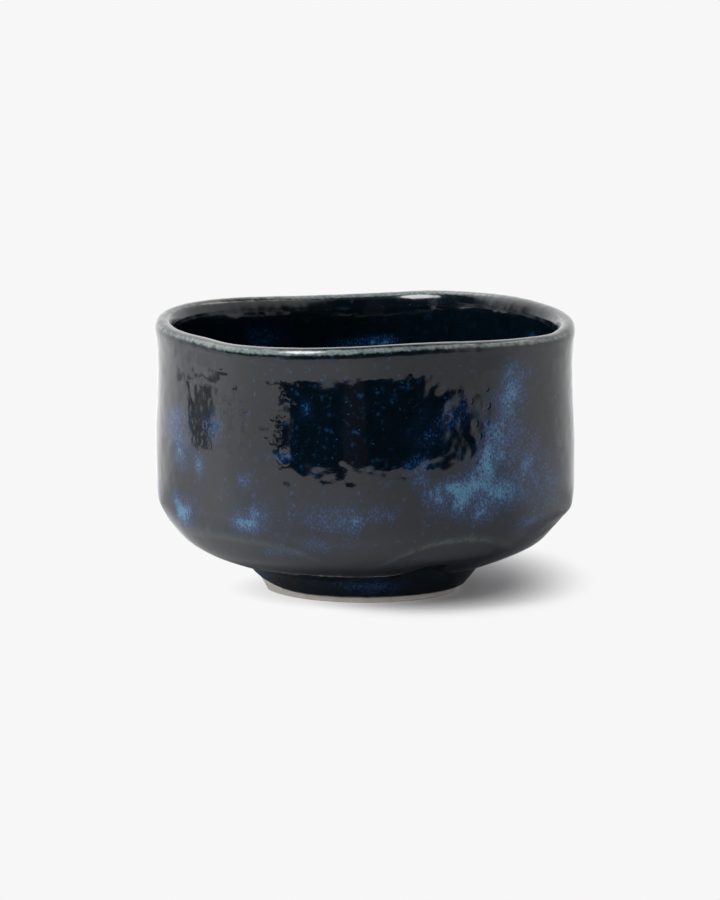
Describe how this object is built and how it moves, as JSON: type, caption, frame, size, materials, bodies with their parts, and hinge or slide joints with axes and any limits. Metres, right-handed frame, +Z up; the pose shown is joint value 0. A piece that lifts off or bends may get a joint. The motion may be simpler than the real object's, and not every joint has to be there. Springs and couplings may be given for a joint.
{
  "type": "matcha bowl",
  "caption": "Squared stoneware tea bowl for whisking matcha, with a dark blue-black glaze, a pale rounded lip and a low turned foot ring with a bare clay edge.",
  "frame": {"origin": "on the table under the middle of the bowl's overall box", "axes": "+Z up, X and Y square to the four flattened sides; the side with the deep trimming stroke at the foot faces -Y"},
  "size_m": [0.1082, 0.1082, 0.0803],
  "materials": {
    "stoneware": "matte fired clay",
    "bare_stoneware": "matte fired clay, smoothed at the edge",
    "outer_glaze": "glossy blue-black glaze with blue mottling",
    "inner_glaze": "glossy blue-black glaze with blue specks",
    "lip_glaze": "glossy thin glaze, broken to pale green-grey",
    "foot_glaze": "glossy blue-black glaze",
    "foot_well_glaze": "glossy blue-black glaze"
  },
  "bodies": {
    "root": {"clay_body": "stoneware", "foot_ring": "bare_stoneware", "outer_glaze": "outer_glaze", "inner_glaze": "inner_glaze", "lip_glaze": "lip_glaze", "foot_glaze": "foot_glaze", "foot_well_glaze": "foot_well_glaze"}
  },
  "joints": []
}
